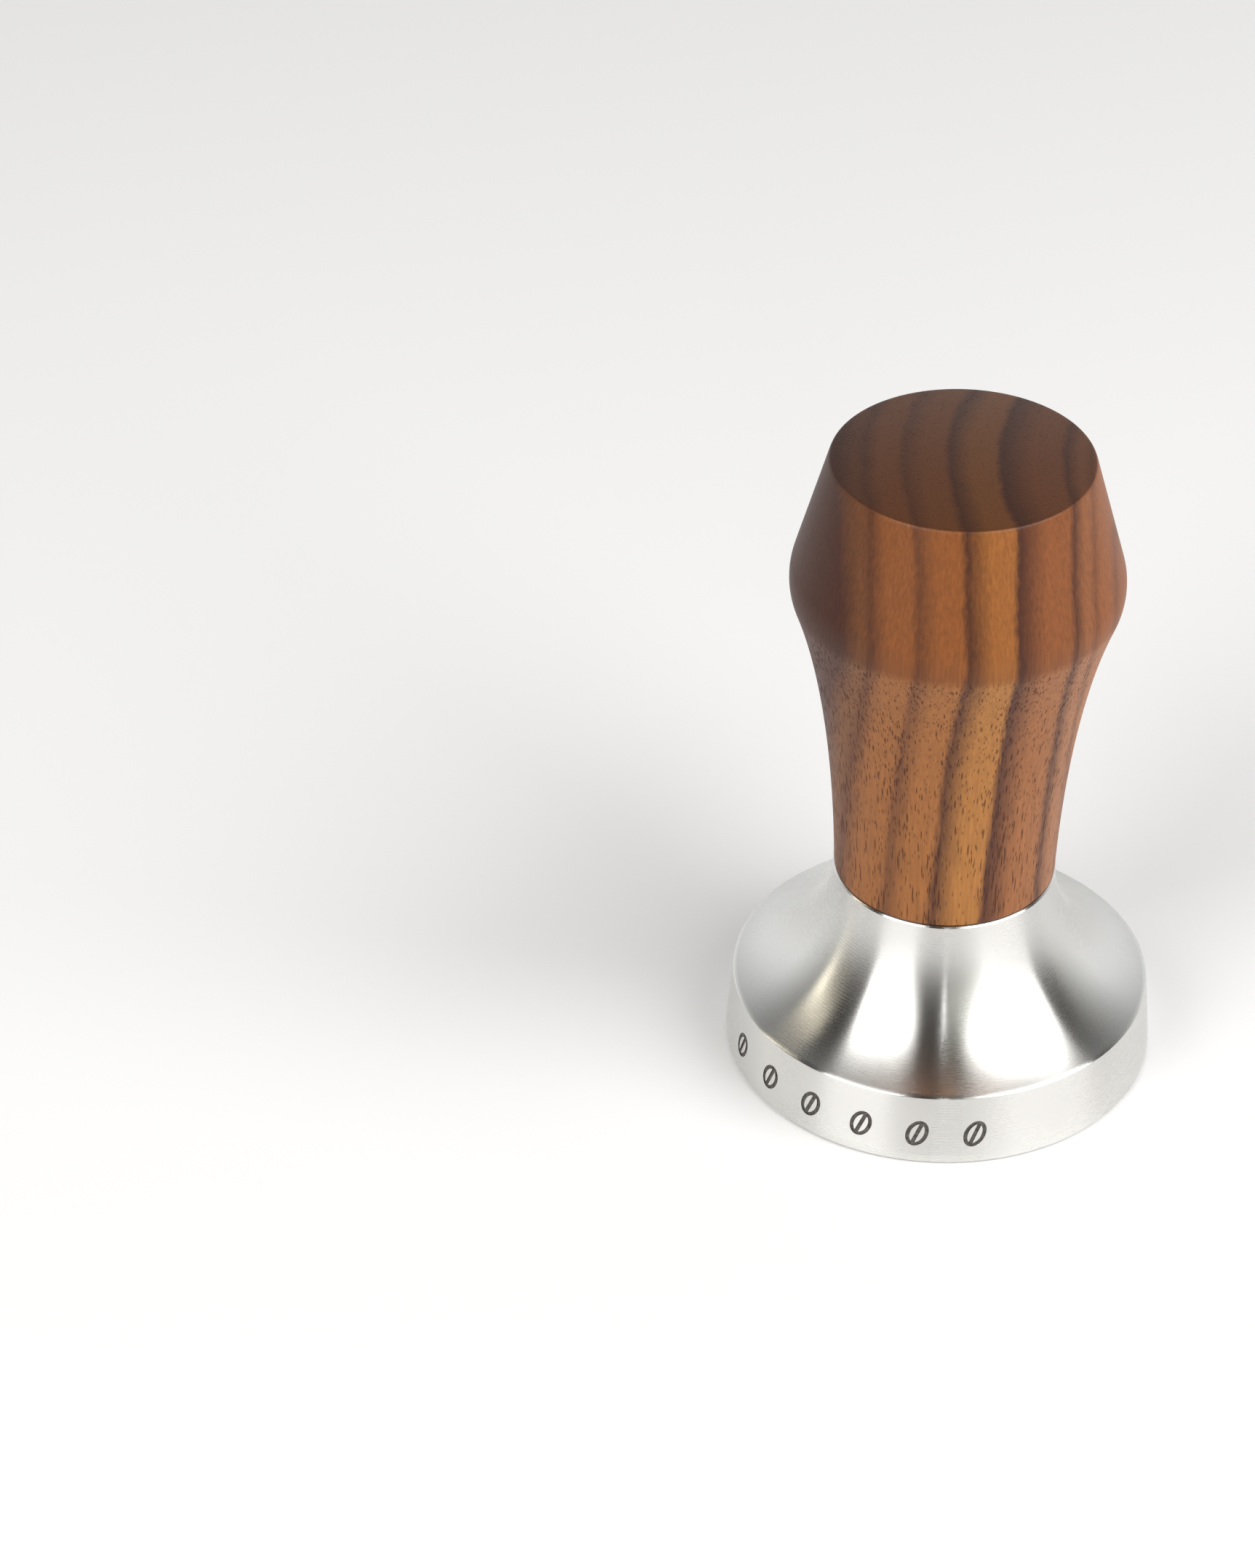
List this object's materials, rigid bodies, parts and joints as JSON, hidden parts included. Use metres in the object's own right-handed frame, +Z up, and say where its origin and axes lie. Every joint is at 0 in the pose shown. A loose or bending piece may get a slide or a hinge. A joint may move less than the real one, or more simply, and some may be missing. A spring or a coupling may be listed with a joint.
{
  "type": "espresso tamper",
  "caption": "Turned steel tamping base with a flared hollow flank and a slim neck, and a waisted walnut handle that screws on through a threaded stud.",
  "frame": {"origin": "centre of the flat tamping face, on the axis", "axes": "+Z up the axis from the tamping face to the top of the handle; -Y is the front, where the engraved marks are counted from"},
  "size_m": [0.058, 0.058, 0.0939],
  "materials": {
    "stainless": "turned and polished, fine tool lines round the axis",
    "walnut": "turned, sanded and oiled, satin",
    "black_rubber": "thin matt sheet",
    "stud_steel": "plain steel, lightly oiled",
    "brass": "as machined"
  },
  "bodies": {
    "base": {"tamper_base": "stainless"},
    "washer": {"friction_washer": "black_rubber"},
    "grip": {"handle": "walnut", "threaded_insert": "brass", "stud": "stud_steel"}
  },
  "joints": [
    {"name": "handle_turn", "type": "hinge", "parent": "base", "child": "washer", "pos_m": [0, 0, 0.029], "axis": [0, 0, 1], "range_deg": [0, 2880]},
    {"name": "handle_rise", "type": "slide", "parent": "washer", "child": "grip", "axis": [0, 0, 1], "range_m": [0, 0.01001]}
  ],
  "couplings": [
    {"joint": "handle_rise", "follows": "handle_turn", "m_per_rad": 0.00019894}
  ]
}
